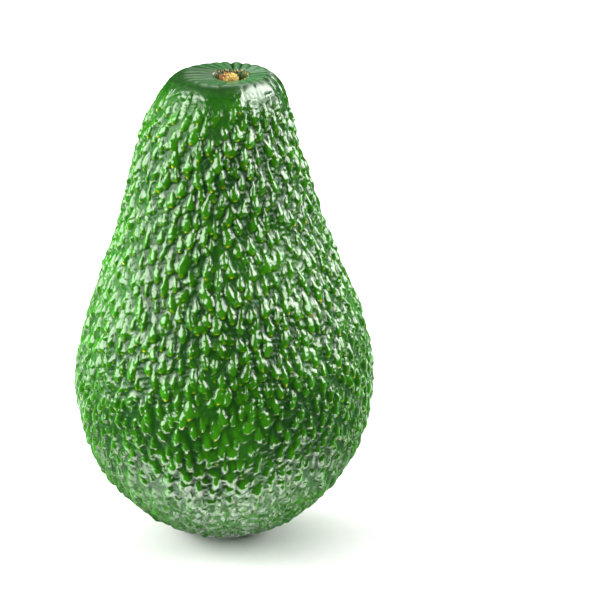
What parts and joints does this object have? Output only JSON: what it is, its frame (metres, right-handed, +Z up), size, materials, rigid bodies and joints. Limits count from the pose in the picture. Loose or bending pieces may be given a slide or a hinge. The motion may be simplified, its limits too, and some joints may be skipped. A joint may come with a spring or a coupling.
{
  "type": "avocado",
  "caption": "Whole long-necked avocado with pebbled green skin, standing on its blossom end, with a corky stem button in the cavity at the top.",
  "frame": {"origin": "middle of the small flat spot at the blossom end that the fruit stands on", "axes": "+Z up the fruit's length towards the stem end, -Y towards the front, +X to the right seen from the front"},
  "size_m": [0.0712, 0.0714, 0.1115],
  "materials": {
    "skin": "glossy pebbled green skin",
    "stem": "dry cracked cork"
  },
  "bodies": {
    "root": {"fruit": "skin", "stem_button": "stem"}
  },
  "joints": []
}
